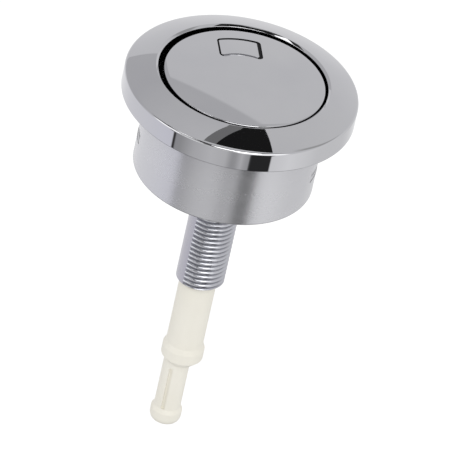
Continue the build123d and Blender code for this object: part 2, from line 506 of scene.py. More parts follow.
@dataclass(frozen=True)
class Finish:
    """Surface finish whose tone and gloss vary with the shared grain.

    The two colours are blended by the clouds, and the two roughness values by clouds and grain.
    The scales count features to the metre, and the bump's depth is in millimetres.
    """

    name: str
    dark: Colour
    light: Colour
    roughness: tuple[float, float]
    metallic: float
    cloud_scale: float
    grain_scale: float
    bump: float
    bump_depth: float
    stretch: tuple[float, float, float] = (1.0, 1.0, 1.0)
    specular: float = 0.5

    def material(self) -> bpy.types.Material:
        """Build the material, or give the one that exists.

        Returns:
            The material.
        """
        known = bpy.data.materials.get(self.name)
        if known:
            return known
        material = bpy.data.materials.new(self.name)
        material.use_nodes = True
        sheet = NodeSheet(material.node_tree)
        shader = material.node_tree.nodes["Principled BSDF"]
        places = sheet.add("ShaderNodeTexCoord")
        mapping = sheet.add("ShaderNodeMapping", Vector=places.outputs["Object"], Scale=self.stretch)
        grain = sheet.add("ShaderNodeGroup", node_tree=grain_group())
        sheet.link(mapping.outputs["Vector"], grain.inputs["Vector"])
        grain.inputs["Cloud Scale"].default_value = self.cloud_scale
        grain.inputs["Grain Scale"].default_value = self.grain_scale
        cloud = sheet.between(grain.outputs["Cloud"], 0, 1, *CLOUD_RANGE)
        sheet.link(sheet.blend(cloud, self.dark, self.light), shader.inputs["Base Color"])
        fine = sheet.math("MULTIPLY", sheet.math("SUBTRACT", grain.outputs["Grain"], 0.5), GRAIN_SHARE)
        gloss = sheet.math("ADD", cloud, fine)
        sheet.link(sheet.between(gloss, *self.roughness), shader.inputs["Roughness"])
        bump = sheet.add("ShaderNodeBump", Height=grain.outputs["Grain"],
                         Strength=self.bump, Distance=self.bump_depth * MM)
        sheet.link(bump.outputs["Normal"], shader.inputs["Normal"])
        shader.inputs["Metallic"].default_value = self.metallic
        shader.inputs["Specular IOR Level"].default_value = self.specular
        return material


MIRROR_CHROME = Finish(
    "mirror_chrome", (0.53, 0.53, 0.55, 1), (0.56, 0.56, 0.575, 1), roughness=(0.012, 0.03), metallic=1.0,
    cloud_scale=60.0, grain_scale=900.0, bump=0.02, bump_depth=0.002)
SATIN_CHROME = Finish(
    "satin_chrome", (0.57, 0.57, 0.59, 1), (0.61, 0.61, 0.63, 1), roughness=(0.22, 0.3), metallic=0.8,
    cloud_scale=70.0, grain_scale=1500.0, bump=0.3, bump_depth=0.05, stretch=(0.7, 0.7, 1.8))
ZINC_PLATE = Finish(
    "zinc_thread", (0.46, 0.465, 0.5, 1), (0.52, 0.525, 0.56, 1), roughness=(0.2, 0.28), metallic=1.0,
    cloud_scale=140.0, grain_scale=2200.0, bump=0.03, bump_depth=0.004)
ZINC_FLAT = Finish(
    "zinc_flat", (0.45, 0.445, 0.48, 1), (0.5, 0.49, 0.53, 1), roughness=(0.24, 0.34), metallic=1.0,
    cloud_scale=140.0, grain_scale=2200.0, bump=0.04, bump_depth=0.01)
SPRING_STEEL = Finish(
    "spring_wire", (0.42, 0.41, 0.4, 1), (0.56, 0.55, 0.53, 1), roughness=(0.22, 0.36), metallic=1.0,
    cloud_scale=120.0, grain_scale=1800.0, bump=0.1, bump_depth=0.01)
# Near-black plastic of the plunger, also used as painted shade on the lower bore and in the mark's groove.
DARK_PLASTIC_AND_SHADE = Finish(
    "dark_moulding_and_painted_shade", (0.008, 0.008, 0.009, 1), (0.014, 0.014, 0.015, 1), roughness=(0.45, 0.6), metallic=0.0,
    cloud_scale=90.0, grain_scale=1500.0, bump=0.2, bump_depth=0.03, specular=0.12)
GREY_PLASTIC = Finish(
    "grey_moulding", (0.52, 0.52, 0.54, 1), (0.58, 0.58, 0.6, 1), roughness=(0.4, 0.55), metallic=0.0,
    cloud_scale=80.0, grain_scale=1500.0, bump=0.15, bump_depth=0.02)
IVORY_PLASTIC = Finish(
    "ivory_moulding", (0.86, 0.83, 0.735, 1), (0.89, 0.865, 0.785, 1), roughness=(0.4, 0.52), metallic=0.0,
    cloud_scale=55.0, grain_scale=700.0, bump=0.05, bump_depth=0.02)


def dress(piece: bpy.types.Object, *finishes: Finish) -> None:
    """Give a piece its materials, in order."""
    piece.data.materials.clear()
    for finish in finishes:
        piece.data.materials.append(finish.material())


# Sub-assemblies

@dataclass
class BezelHousing:
    """Flange with its raised crown, and the skirt that goes down through the lid."""

    flange_radius: float = 27.5
    band_height: float = 5.0
    lip_height: float = 7.5
    crown_bulge: float = 0.2
    crown_steps: int = 10
    bore_radius: float = 20.0
    spigot_radius: float = 21.25
    skirt_end: float = -20.0
    skirt_steps: int = 8
    edge_round: float = 0.7
    lip_chamfer: float = 0.55
    lip_round: float = 0.15
    skirt_round: float = 0.4
    small_round: float = 0.2
    seat_ring: float = 2.0
    root_ring: float = 1.25
    groove_top: float = 3.0
    window_size: tuple[float, float] = (12.4, 2.5)
    window_middle: float = -12.45
    # Height under which the bore is painted near-black, as painted shade in the gap round the button.
    shade_line: float = 1.5

    def crown_height(self, radius: float) -> float:
        """Height of the crown at a radius."""
        share = (self.flange_radius - radius) / (self.flange_radius - self.bore_radius)
        rise = (self.lip_height - self.band_height) * share
        return self.band_height + rise + 4 * self.crown_bulge * share * (1 - share)

    def crown(self) -> list[Corner]:
        """Corners along the crown, from near the band to the lip's chamfer."""
        run = self.flange_radius - self.bore_radius
        radii = [self.flange_radius - run * step / self.crown_steps for step in range(1, self.crown_steps)]
        lip = self.bore_radius + self.lip_chamfer
        return [*(Corner(radius, self.crown_height(radius)) for radius in radii),
                Corner(lip, self.crown_height(lip), self.lip_round)]

    def outline(self) -> list[Corner]:
        """Section of the housing, from the lip down the bore and back up the outside."""
        groove_inner = self.spigot_radius + self.root_ring
        groove_outer = self.flange_radius - self.seat_ring
        skirt = [Corner(self.spigot_radius, self.skirt_end * (1 - step / self.skirt_steps))
                 for step in range(1, self.skirt_steps)]
        return [
            Corner(self.bore_radius, self.lip_height - self.lip_chamfer, self.lip_round),
            Corner(self.bore_radius, self.shade_line),
            Corner(self.bore_radius, self.skirt_end, self.small_round),
            Corner(self.spigot_radius, self.skirt_end, self.skirt_round),
            *skirt,
            Corner(self.spigot_radius, 0),
            Corner(groove_inner, 0, self.small_round),
            Corner(groove_inner, self.groove_top, self.small_round),
            Corner(groove_outer, self.groove_top, self.small_round),
            Corner(groove_outer, 0, self.small_round),
            Corner(self.flange_radius, 0, self.small_round),
            Corner(self.flange_radius, self.band_height, self.edge_round),
            *self.crown(),
        ]

    def build(self) -> bpy.types.Object:
        """Turn the housing and cut its two snap windows.

        Returns:
            The finished object.
        """
        housing = turned("bezel", self.outline())
        width, height = self.window_size
        window = block("window", (3 * self.flange_radius, width, height), (0, 0, self.window_middle),
                       self.small_round)
        combine(housing, window, Joining.CUT)
        smooth(housing)
        self.dress(housing)
        return housing

    def dress(self, housing: bpy.types.Object) -> None:
        """Give the flange a mirror finish, the skirt a satin one, and the bore below the shade line a
        near-black finish that is painted shade for the dark gap round the button.

        Args:
            housing: The finished object.
        """
        dress(housing, MIRROR_CHROME, SATIN_CHROME, DARK_PLASTIC_AND_SHADE)
        middle_radius = (self.bore_radius + self.spigot_radius) / 2 * MM
        shade_line = self.shade_line * MM
        paint_faces(housing, 1, lambda middle, normal: middle.z < 0 and middle.xy.length > middle_radius)
        # Painted shade: the bore below the shade line takes the near-black finish so the gap round the
        # button reads dark.
        paint_faces(housing, 2, lambda middle, normal: middle.z < shade_line
                    and middle.xy.length < middle_radius)
        place(housing, Body.HOUSING, Slot.CHROME, "bezel_housing")


@dataclass
class PressMark:
    """Curved oblong on the button, outlined by a groove."""

    distance: float = 12.0
    angle: float = 103.5
    width: float = 9.0
    length: float = 5.7
    corner_round: float = 0.4
    groove_width: float = 0.7
    groove_depth: float = 0.35
    shift: float = 0.25
    tool_height: float = 2.0
    arc_steps: int = 16
    corner_steps: int = 5

    def oblong(self, grow: float) -> list[Vector]:
        """Follow the oblong's outline: two arcs about the button's axis and two parallel sides.

        Args:
            grow: How far outside the mark the outline runs.

        Returns:
            The points in metres, with the mark on the +X side.
        """
        bend = self.corner_round + grow
        side = self.width / 2 + grow - bend
        outer = self.distance + self.length / 2 + grow
        inner = self.distance - self.length / 2 - grow
        far = Vector((math.sqrt((outer - bend) ** 2 - side ** 2), side))
        near = Vector((math.sqrt((inner + bend) ** 2 - side ** 2), side))
        far_angle = math.degrees(math.atan2(far.y, far.x))
        near_angle = math.degrees(math.atan2(near.y, near.x))
        flip = Vector((1, -1))
        arcs = (
            (Vector((0, 0)), outer, -far_angle, far_angle, self.arc_steps),
            (far, bend, far_angle, 90, self.corner_steps),
            (near, bend, 90, 180 + near_angle, self.corner_steps),
            (Vector((0, 0)), inner, near_angle, -near_angle, self.arc_steps),
            (near * flip, bend, 180 - near_angle, 270, self.corner_steps),
            (far * flip, bend, 270, 360 - far_angle, self.corner_steps),
        )
        points = []
        for middle, radius, start, end, steps in arcs:
            for step in range(steps):
                angle = math.radians(start + (end - start) * step / steps)
                points.append(Vector((middle.x + radius * math.cos(angle),
                                      middle.y + radius * math.sin(angle), 0)) * MM)
        return points

    def on_side(self, point: Vector) -> bool:
        """Tell whether a point, in metres, lies in line with one of the mark's straight sides."""
        turn = math.radians(self.angle)
        return abs(point.y * math.cos(turn) - point.x * math.sin(turn)) > (self.width / 2 - self.shift) * MM

    def groove_tool(self, surface: float) -> bpy.types.Object:
        """Make the ring-shaped tool that cuts the groove.

        Args:
            surface: Height of the button's top at the mark.

        Returns:
            The tool.
        """
        inside = start_outline("inside", self.oblong(0), closed=True)
        move_object(inside, Vector((0, self.shift, 0)))
        tool = start_outline("groove_tool", self.oblong(self.groove_width), closed=True)
        make_active(tool)
        inside.select_set(True)
        bpy.ops.object.join()
        with editing(tool):
            bpy.ops.mesh.bridge_edge_loops()
            bpy.ops.mesh.select_all(action="SELECT")
            bpy.ops.mesh.extrude_region_move(TRANSFORM_OT_translate={"value": (0, 0, self.tool_height * MM)})
            tidy_mesh()
        move_object(tool, Vector((0, 0, surface - self.groove_depth)))
        turn_object(tool, self.angle)
        return tool


@dataclass
class PushButton:
    """Domed button with its press mark, resting a little to the right in its opening."""

    radius: float = 19.0
    edge_height: float = 6.8
    dome: float = 0.5
    edge_round: float = 0.3
    small_round: float = 0.2
    inner_radius: float = 18.2
    rest_shift: float = 0.4
    ceiling: float = 5.4
    end_height: float = -0.3
    dome_steps: int = 18
    mark: PressMark = field(default_factory=PressMark)

    def top(self, radius: float) -> float:
        """Height of the dome at a radius."""
        return self.edge_height + self.dome * (1 - (radius / self.radius) ** 2)

    def outline(self) -> list[Corner]:
        """Section of the cap, from the top of the dome round to its ceiling."""
        crown = [self.radius * step / (self.dome_steps + 1) for step in range(self.dome_steps + 1)]
        return [
            *(Corner(radius, self.top(radius)) for radius in crown),
            Corner(self.radius, self.edge_height, self.edge_round),
            Corner(self.radius, self.end_height, self.small_round),
            Corner(self.inner_radius, self.end_height, self.small_round),
            Corner(self.inner_radius, self.ceiling, self.small_round),
            Corner(0, self.ceiling),
        ]

    def build(self) -> bpy.types.Object:
        """Turn the cap and cut the groove of its mark.

        Returns:
            The finished object.
        """
        button = turned("button", self.outline())
        combine(button, self.mark.groove_tool(self.top(self.mark.distance)), Joining.CUT)
        smooth(button)
        self.dress(button)
        move_object(button, Vector((self.rest_shift, 0, 0)))
        place(button, Body.BUTTON, Slot.CHROME, "button_cap")
        return button

    def dress(self, button: bpy.types.Object) -> None:
        """Leave the inside of the cap unplated, and paint shade into the mark's groove: near-black on its
        sides and far arc, chrome along its near arc.

        Args:
            button: The finished object.
        """
        dress(button, MIRROR_CHROME, DARK_PLASTIC_AND_SHADE)
        inside = (self.inner_radius + PAINT_MARGIN) * MM
        roof = (self.ceiling + PAINT_MARGIN) * MM
        far = self.mark.distance * MM

        def sunk(middle: Vector, normal: Vector) -> bool:
            """Tell whether a face lies in the mark's groove."""
            surface = self.top(middle.xy.length / MM) * MM
            return roof < middle.z and middle.xy.length < inside and (
                abs(normal.z) < UPRIGHT or middle.z < surface - self.mark.groove_depth / 3 * MM)

        # Painted shade: the groove's sides and far arc take the near-black finish; the near arc stays
        # chrome.
        paint_faces(button, 1, lambda middle, normal: middle.z < roof and middle.xy.length < inside
                    or sunk(middle, normal) and (self.mark.on_side(middle) or middle.xy.length > far))


@dataclass
class BaseInsert:
    """Cup that snaps into the skirt, with ledges inside and two spring arms with tabs."""

    outer_radius: float = 19.85
    inner_radius: float = 18.25
    floor_bottom: float = -19.5
    floor_top: float = -17.0
    top: float = -6.7
    small_round: float = 0.25
    hole_radius: float = 5.65
    ledge_inner: float = 16.9
    ledge_bottom: float = -8.1
    ledge_half: float = 16.0
    core_half: float = 17.0
    ledge_angles: tuple[float, ...] = (45.0, 135.0, 225.0, 315.0)
    arm_slot_middle: float = 7.4
    arm_slot_width: float = 1.2
    tab_radius: float = 21.2
    tab_span: tuple[float, float] = (-13.55, -11.35)
    tab_land: float = 1.4
    tab_width: float = 12.2
    tab_sweep: float = 20.0
    steps: int = 128

    def cup(self) -> bpy.types.Object:
        """Turn the cup with the stem's hole in its floor."""
        return turned("base", [
            Corner(self.hole_radius, self.floor_bottom, self.small_round),
            Corner(self.outer_radius, self.floor_bottom, self.small_round),
            Corner(self.outer_radius, self.top, self.small_round),
            Corner(self.inner_radius, self.top, self.small_round),
            Corner(self.inner_radius, self.floor_top, self.small_round),
            Corner(self.hole_radius, self.floor_top, self.small_round),
        ], self.steps)

    def tab(self, angle: float) -> bpy.types.Object:
        """Shape one snap tab: a turned wedge between two parallel sides.

        Args:
            angle: Angle of the tab's middle in degrees.

        Returns:
            The tab.
        """
        low, high = self.tab_span
        middle = (self.inner_radius + self.outer_radius) / 2
        tab = turned_sector("tab", [
            Corner(middle, low),
            Corner(self.tab_radius, low),
            Corner(self.tab_radius, low + self.tab_land),
            Corner(self.outer_radius, high),
            Corner(middle, high),
        ], 0, self.tab_sweep)
        sides = block("sides", (2 * self.tab_radius, self.tab_width, 4 * (high - low)),
                      (self.tab_radius, 0, (low + high) / 2))
        combine(tab, sides, Joining.KEEP)
        turn_object(tab, angle)
        return tab

    def build(self) -> bpy.types.Object:
        """Add the ledges and tabs to the cup, and cut its core and arm slots.

        Returns:
            The finished object.
        """
        base = self.cup()
        middle = (self.inner_radius + self.outer_radius) / 2
        for angle in self.ledge_angles:
            combine(base, turned_sector("ledge", [
                Corner(self.ledge_inner, self.ledge_bottom, self.small_round),
                Corner(middle, self.ledge_bottom),
                Corner(middle, self.top - self.small_round),
                Corner(self.ledge_inner, self.top - self.small_round, self.small_round),
            ], angle, self.ledge_half), Joining.FUSE)
            combine(base, turned_sector("core", [
                Corner(self.ledge_inner, self.floor_bottom - CUT_MARGIN),
                Corner(self.inner_radius, self.floor_bottom - CUT_MARGIN),
                Corner(self.inner_radius, self.floor_top + CUT_MARGIN),
                Corner(self.ledge_inner, self.floor_top + CUT_MARGIN),
            ], angle, self.core_half), Joining.CUT)
        height = self.top + CUT_MARGIN - self.floor_top
        for side in (1, -1):
            slot = block("arm_slot", (3 * self.outer_radius, self.arm_slot_width, height),
                         (0, side * self.arm_slot_middle, self.floor_top + height / 2))
            combine(base, slot, Joining.CUT)
        for angle in (0, 180):
            combine(base, self.tab(angle), Joining.FUSE)
        smooth(base)
        dress(base, GREY_PLASTIC)
        place(base, Body.HOUSING, Slot.GREY, "base_insert")
        return base


@dataclass
class ThreadedStem:
    """Tube with a thread on two lands, smooth strips between them and a collar at the top."""

    crest_radius: float = 6.0
    root_radius: float = 5.5
    strip_radius: float = 5.47
    bore_radius: float = 4.65
    pitch: float = 1.25
    crest_steps: int = 12
    turn_steps: int = 96
    thread_top: float = -21.0
    end_height: float = -51.1
    end_chamfer: float = 0.8
    strips: tuple[tuple[float, float], ...] = ((195.0, 39.5), (28.0, 26.0))
    collar_radius: float = 9.0
    collar_bottom: float = -21.5
    collar_top: float = -19.5
    collar_round: float = 0.5
    neck_radius: float = 5.45
    neck_top: float = -12.5
    small_round: float = 0.2
    smooth_angle: float = 40.0
    bore_margin: float = 0.2
    strip_margin: float = 0.015

    def thread(self) -> bpy.types.Object:
        """Wind the thread's round crest into a closed helical bar.

        Returns:
            The bar, cut to the thread's length.
        """
        start = self.end_height - 2 * self.pitch
        half_sweep = 2 * math.atan(2 * (self.crest_radius - self.root_radius) / self.pitch)
        bend = self.pitch / 2 / math.sin(half_sweep)
        angles = [half_sweep * (2 * step / self.crest_steps - 1) for step in range(self.crest_steps + 1)]
        points = [Vector((self.crest_radius - bend * (1 - math.cos(angle)), 0,
                          start + self.pitch / 2 + bend * math.sin(angle))) * MM for angle in angles]
        bar = start_outline("stem", points, closed=False)
        screw = bar.modifiers.new("thread", "SCREW")
        screw.angle = math.tau
        screw.screw_offset = self.pitch * MM
        screw.iterations = math.ceil((self.thread_top - start) / self.pitch) + 2
        screw.steps = screw.render_steps = self.turn_steps
        make_active(bar)
        bpy.ops.object.modifier_apply(modifier=screw.name)
        with editing(bar):
            bpy.ops.mesh.remove_doubles(threshold=MERGE_DISTANCE)
            for height, way in ((self.thread_top, 1), (self.end_height, -1)):
                bpy.ops.mesh.select_all(action="SELECT")
                bpy.ops.mesh.bisect(plane_co=(0, 0, height * MM), plane_no=(0, 0, way), use_fill=True,
                                    clear_outer=True, threshold=CUT_TOLERANCE)
            tidy_mesh()
        return bar

    def lead_in(self) -> bpy.types.Object:
        """Make the bar that bounds the stem's end with its chamfer."""
        wide = self.crest_radius + CUT_MARGIN
        reach = CUT_MARGIN + self.end_chamfer
        return turned("lead_in", [
            Corner(0, self.end_height - CUT_MARGIN),
            Corner(wide - reach - CUT_MARGIN, self.end_height - CUT_MARGIN),
            Corner(wide, self.end_height + reach),
            Corner(wide, self.thread_top + CUT_MARGIN),
            Corner(0, self.thread_top + CUT_MARGIN),
        ], self.turn_steps)

    def head(self) -> bpy.types.Object:
        """Turn the collar and the neck above it."""
        return turned("head", [
            Corner(0, self.neck_top),
            Corner(self.neck_radius, self.neck_top, self.small_round),
            Corner(self.neck_radius, self.collar_top),
            Corner(self.collar_radius, self.collar_top, self.small_round),
            Corner(self.collar_radius, self.collar_bottom, self.collar_round),
            Corner(0, self.collar_bottom),
        ], self.turn_steps)

    def build(self) -> bpy.types.Object:
        """Cut the strips, the lead-in and the bore, and add the head.

        Returns:
            The finished object.
        """
        stem = self.thread()
        combine(stem, self.lead_in(), Joining.KEEP)
        for middle, half in self.strips:
            strip = turned_sector("strip", [
                Corner(self.strip_radius, self.end_height - CUT_MARGIN),
                Corner(self.crest_radius + CUT_MARGIN, self.end_height - CUT_MARGIN),
                Corner(self.crest_radius + CUT_MARGIN, self.thread_top + CUT_MARGIN),
                Corner(self.strip_radius, self.thread_top + CUT_MARGIN),
            ], middle, half)
            combine(stem, strip, Joining.CUT)
        combine(stem, self.head(), Joining.FUSE)
        combine(stem, turned("bore", [
            Corner(0, self.neck_top + CUT_MARGIN),
            Corner(self.bore_radius, self.neck_top + CUT_MARGIN),
            Corner(self.bore_radius, self.end_height - CUT_MARGIN),
            Corner(0, self.end_height - CUT_MARGIN),
        ], self.turn_steps), Joining.CUT)
        smooth(stem, self.smooth_angle)
        self.dress(stem)
        return stem

    def dress(self, stem: bpy.types.Object) -> None:
        """Give the thread a bright finish and its smooth strips a paler one.

        Args:
            stem: The finished object.
        """
        dress(stem, ZINC_PLATE, ZINC_FLAT)
        inside = (self.bore_radius + self.bore_margin) * MM
        outside = (self.strip_radius + self.strip_margin) * MM
        paint_faces(stem, 1, lambda middle, normal: inside < middle.xy.length < outside
                    and abs(normal.z) < UPRIGHT and middle.z < self.collar_bottom * MM)
        place(stem, Body.HOUSING, Slot.ZINC, "threaded_stem")


@dataclass
class PushRod:
    """Ivory rod with a ring above its coned shoulder and a slotted tail that ends in a knob."""

    radius: float = 4.4
    top: float = 1.0
    top_round: float = 0.4
    shoulder: float = -73.4
    shoulder_height: float = 2.0
    ring_reach: float = 0.6
    ring_height: float = 2.6
    ring_ramp: float = 1.3
    ring_round: float = 0.3
    tail_radius: float = 3.15
    tail_end: float = -93.2
    tail_offset: float = 0.8
    tail_angle: float = 165.0
    nose_round: float = 2.0
    knob_reach: float = 0.6
    knob_height: float = 4.5
    knob_ramp: float = 0.9
    slot_width: float = 0.9
    slot_depth: float = 0.6
    slot_span: tuple[float, float] = (-88.6, -76.6)
    slot_round: float = 0.15
    steps: int = 128

    def shaft(self) -> bpy.types.Object:
        """Turn the rod down to the foot of its shoulder."""
        ring = self.radius + self.ring_reach
        ring_top = self.shoulder + self.ring_height
        foot = self.shoulder - self.shoulder_height
        return turned("rod", [
            Corner(0, self.top),
            Corner(self.radius, self.top, self.top_round),
            Corner(self.radius, ring_top + self.ring_ramp, self.ring_round),
            Corner(ring, ring_top, self.ring_round),
            Corner(ring, self.shoulder, self.ring_round),
            Corner(self.tail_radius, foot),
            Corner(0, foot),
        ], self.steps)

    def tail(self) -> bpy.types.Object:
        """Turn the tail with its knob and round nose, and set it off the rod's axis."""
        knob = self.tail_radius + self.knob_reach
        knob_top = self.tail_end + self.knob_height
        tail = turned("tail", [
            Corner(0, self.shoulder),
            Corner(self.tail_radius, self.shoulder),
            Corner(self.tail_radius, knob_top, self.ring_round),
            Corner(knob, knob_top - self.knob_ramp, self.ring_round),
            Corner(knob, self.tail_end, self.nose_round),
            Corner(0, self.tail_end),
        ], self.steps)
        move_object(tail, Vector((self.tail_offset, 0, 0)))
        return tail

    def build(self) -> bpy.types.Object:
        """Join the rod and its tail, and cut a slot down each side of the tail.

        Returns:
            The finished object.
        """
        rod = self.shaft()
        combine(rod, self.tail(), Joining.FUSE)
        low, high = self.slot_span
        for side in (1, -1):
            reach = side * (2 * self.tail_radius - self.slot_depth)
            slot = block("slot", (self.slot_width, 2 * self.tail_radius, high - low),
                         (self.tail_offset, reach, (low + high) / 2), self.slot_round)
            combine(rod, slot, Joining.CUT)
        turn_object(rod, self.tail_angle)
        smooth(rod)
        dress(rod, IVORY_PLASTIC)
        place(rod, Body.BUTTON, Slot.IVORY, "push_rod")
        return rod


@dataclass
class ReturnSpring:
    """Open coil between the floor of the base and the plunger."""

    wire: float = 1.2
    coil_radius: float = 10.45
    start_height: float = -16.35
    end_height: float = 2.35
    turns: int = 5
    turn_steps: int = 64
    wire_steps: int = 16
    fixed_height: float = -17.0
    pressed_share: float = 0.7
    smooth_angle: float = 60.0

    def build(self) -> bpy.types.Object:
        """Wind the wire and close its ends.

        Returns:
            The finished object.
        """
        deselect_all()
        bpy.ops.mesh.primitive_circle_add(
            vertices=self.wire_steps, radius=self.wire / 2 * MM, fill_type="NGON",
            location=Vector((self.coil_radius, 0, self.start_height)) * MM, rotation=(math.pi / 2, 0, 0))
        spring = bpy.context.object
        spring.name = "spring"
        bpy.ops.object.transform_apply(location=True, rotation=True, scale=True)
        screw = spring.modifiers.new("coil", "SCREW")
        screw.angle = math.tau
        screw.screw_offset = (self.end_height - self.start_height) / self.turns * MM
        screw.iterations = self.turns
        screw.steps = screw.render_steps = self.turn_steps
        make_active(spring)
        bpy.ops.object.modifier_apply(modifier=screw.name)
        with editing(spring):
            bpy.ops.mesh.fill_holes(sides=self.wire_steps)
            tidy_mesh()
        smooth(spring, self.smooth_angle)
        dress(spring, SPRING_STEEL)
        place(spring, Body.HOUSING, Slot.SPRING, "return_spring")
        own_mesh(spring)
        return spring


HIDDEN_FINISHES = {
    "plunger": (DARK_PLASTIC_AND_SHADE, Slot.DARK),
    "stem_washer": (ZINC_PLATE, Slot.ZINC),
    "stem_nut": (ZINC_PLATE, Slot.ZINC),
    "rod_screw": (ZINC_PLATE, Slot.ZINC),
}


def dress_inner_nodes() -> None:
    """Give the inner pieces of the frame their finishes."""
    for name, (finish, slot) in HIDDEN_FINISHES.items():
        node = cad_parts[name]
        dress(node, finish)
        LOG.info("%s keeps its node, finished as %s", name, finish.name)


# Studio and camera

@dataclass(frozen=True)
class Panel:
    """Level panel over the part that only reflections see; its near and far edges are in metres."""

    name: str
    near: tuple[float, float]
    far: tuple[float, float]
    level: float
    near_depth: float = 0.075
    far_depth: float = 0.335
    height: float = 0.6

    def build(self) -> bpy.types.Object:
        """Shape a plane to the panel's corners and give it its even level.

        Returns:
            The panel.
        """
        deselect_all()
        bpy.ops.mesh.primitive_plane_add(size=1)
        panel = bpy.context.object
        panel.name = self.name
        edges = ((self.near, self.near_depth), (self.far, self.far_depth))
        corners = [(across, depth, self.height) for ends, depth in edges for across in ends]
        for vertex, corner in zip(panel.data.vertices, corners):
            vertex.co = corner
        material = bpy.data.materials.new(self.name)
        material.use_nodes = True
        sheet = NodeSheet(material.node_tree)
        glow = sheet.add("ShaderNodeEmission", Color=(self.level, self.level, self.level, 1), Strength=1.0)
        sheet.link(glow.outputs[0], material.node_tree.nodes["Material Output"].inputs["Surface"])
        panel.data.materials.append(material)
        panel.visible_camera = False
        panel.visible_diffuse = False
        panel.visible_shadow = False
        panel.visible_transmission = False
        return panel


@dataclass(frozen=True)
class Softbox:
    """Soft lamp aimed at the part."""

    name: str
    location: tuple[float, float, float]
    size: tuple[float, float]
    radiance: float

    def build(self) -> bpy.types.Object:
        """Add the lamp.

        Returns:
            The lamp.
        """
        lamp = bpy.data.lights.new(self.name, "AREA")
        lamp.shape = "RECTANGLE"
        lamp.size, lamp.size_y = self.size
        lamp.energy = self.radiance * math.pi * self.size[0] * self.size[1]
        stand = bpy.data.objects.new(self.name, lamp)
        bpy.context.scene.collection.objects.link(stand)
        stand.location = self.location
        stand.rotation_mode = "QUATERNION"
        stand.rotation_quaternion = Vector(self.location).to_track_quat("Z", "Y")
        return stand


# Levels of the surroundings below the horizon, by azimuth from the front, and the blue that each adds.
AZIMUTH_STOPS = (
    (-180, 0.9, 0.01),
    (-150, 0.97, 0.02),
    (-100, 0.96, 0.04),
    (-64, 0.92, 0.08),
    (-55.5, 0.9, 0.08),
    (-55, 0.05, 0.0),
    (-53.5, 0.05, 0.0),
    (-52, 0.42, 0.02),
    (-46, 0.45, 0.01),
    (-32, 0.66, 0.01),
    (-14, 0.77, 0.01),
    (0, 0.7, 0.01),
    (6.5, 0.46, 0.01),
    (10, 0.49, 0.01),
    (15.5, 0.69, 0.01),
    (19, 0.55, 0.01),
    (23, 0.48, 0.01),
    (24, 0.033, 0.001),
    (44.5, 0.033, 0.001),
    (45, 0.97, 0.01),
    (64, 1.08, 0.01),
    (96, 0.88, 0.01),
    (135, 0.82, 0.01),
    (180, 0.9, 0.01),
)
# The same above the horizon, by the sine of the height.
HEIGHT_STOPS = (
    (-0.2, 0.95, 0.01),
    (0.0, 0.93, 0.01),
    (0.2, 0.88, 0.015),
    (0.5, 0.82, 0.015),
    (0.8, 0.79, 0.01),
    (1.0, 0.78, 0.01),
)


@dataclass(frozen=True)
class Patch:
    """Patch of the surroundings that reflections see: azimuth from the front and rise, in degrees."""

    azimuth: tuple[float, float]
    rise: tuple[float, float]
    level: float
    soft: float = 1.0

    def mask(self, sheet: NodeSheet, azimuth: bpy.types.NodeSocket,
             rise: bpy.types.NodeSocket) -> bpy.types.NodeSocket:
        """Mask the patch with soft borders.

        Args:
            sheet: The node tree's helper.
            azimuth: Azimuth of the direction in degrees, from the front and positive to the right.
            rise: Its height over the horizon in degrees.

        Returns:
            The mask.
        """
        mask = sheet.math("MULTIPLY", 1.0, 1.0)
        for value, (low, high) in ((azimuth, self.azimuth), (rise, self.rise)):
            for edge in (sheet.between(value, 0, 1, low - self.soft, low + self.soft),
                         sheet.between(value, 1, 0, high - self.soft, high + self.soft)):
                mask = sheet.math("MULTIPLY", mask, edge)
        return mask


PATCHES = (
    Patch((-73, 56), (-2, 52), 1.7, 3.0),
    Patch((-46, -24), (11, 23), 0.03),
    Patch((-24, 9), (4, 31), 0.03, 3.0),
    Patch((98, 132), (34, 60), 0.5, 3.0),
    Patch((-88, -10), (34, 66), 0.05),
    Patch((-80, -42), (66, 74), 0.02),
    Patch((-72, -42), (50, 66), 2.0),
    Patch((-42, 72), (53, 74), 0.02),
    Patch((-42, 18), (45, 54), 0.02),
)


